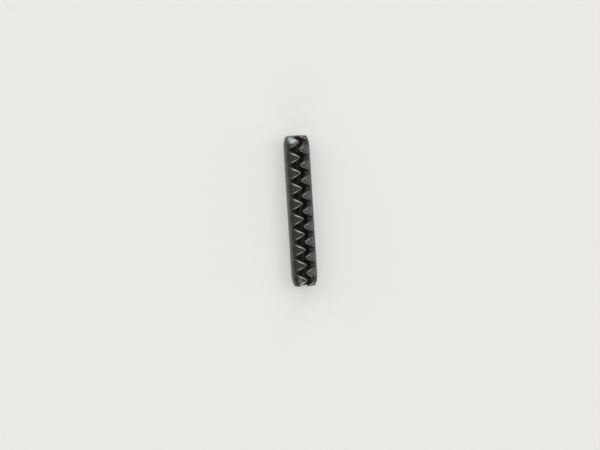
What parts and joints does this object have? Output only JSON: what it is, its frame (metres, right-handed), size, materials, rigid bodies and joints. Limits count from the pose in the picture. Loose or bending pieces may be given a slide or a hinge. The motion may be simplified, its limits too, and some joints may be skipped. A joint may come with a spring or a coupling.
{
  "type": "spring pin",
  "caption": "Rolled spring-steel pin with a toothed wave slot along its whole length and drawn-in ends, pressed into a drilled hole to hold two parts together.",
  "frame": {"origin": "middle of the pin, on its axis", "axes": "+Y along the pin's axis, +Z out through the middle of the slot"},
  "size_m": [0.002, 0.012, 0.002],
  "materials": {
    "black_steel": "black oxide on hardened spring steel, lightly oiled, bright on the worn edges"
  },
  "bodies": {
    "root": {"spring_pin": "black_steel"}
  },
  "joints": []
}
